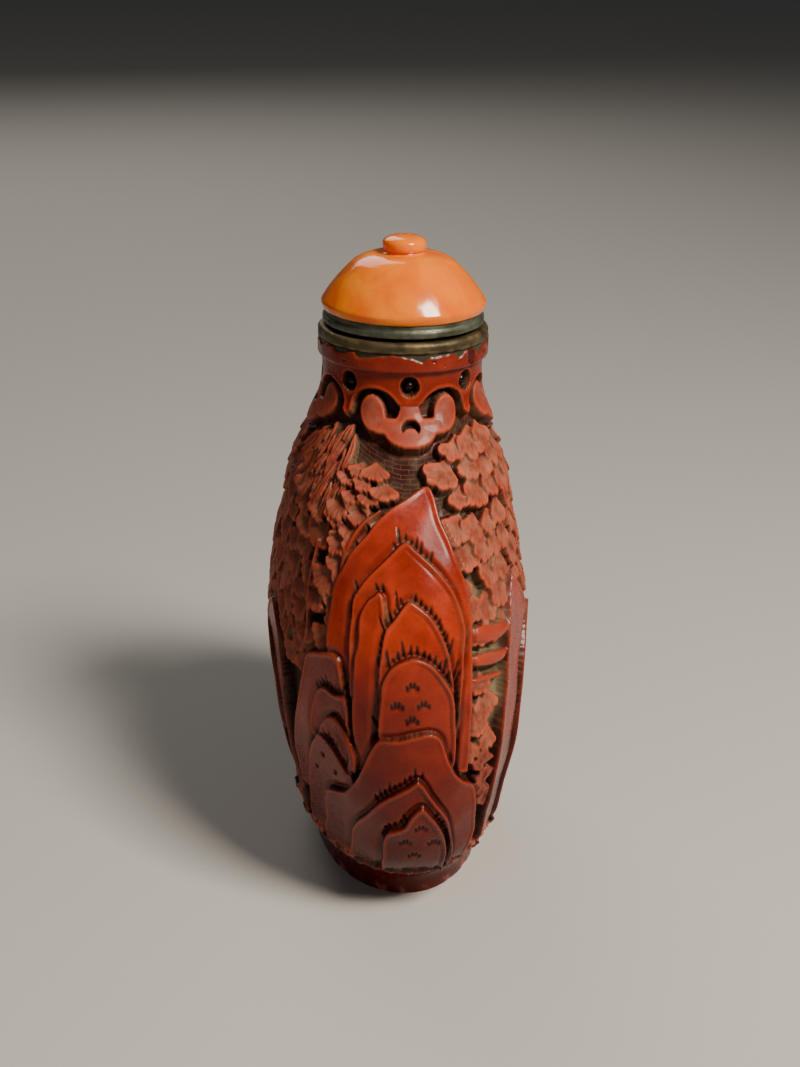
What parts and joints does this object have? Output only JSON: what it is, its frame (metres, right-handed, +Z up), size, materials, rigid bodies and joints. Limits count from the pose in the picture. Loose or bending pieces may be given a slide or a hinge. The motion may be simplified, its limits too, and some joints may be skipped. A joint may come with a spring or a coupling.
{
  "type": "snuff bottle",
  "caption": "Flattened hollow snuff bottle in carved red lacquer on an oval foot, with a metal mouth ring and a lift-off domed stopper.",
  "frame": {"origin": "centre of the foot's underside, on the surface the bottle stands on", "axes": "+Z up through the mouth, X through the two broad faces, Y through the two narrow ends, -Y the narrow end with the stepped rocks"},
  "size_m": [0.03, 0.0519, 0.0724],
  "materials": {
    "lacquer": "carved lacquer, worn satin gloss with dust in the cuts",
    "ring_metal": "tarnished, worn pale at the edges",
    "collar_metal": "tarnished grey green",
    "cap_glass": "polished cloudy orange glass"
  },
  "bodies": {
    "root": {"bottle_body": "lacquer", "mouth_ring": "ring_metal", "stopper_collar": "collar_metal", "stopper_cap": "cap_glass"}
  },
  "joints": []
}
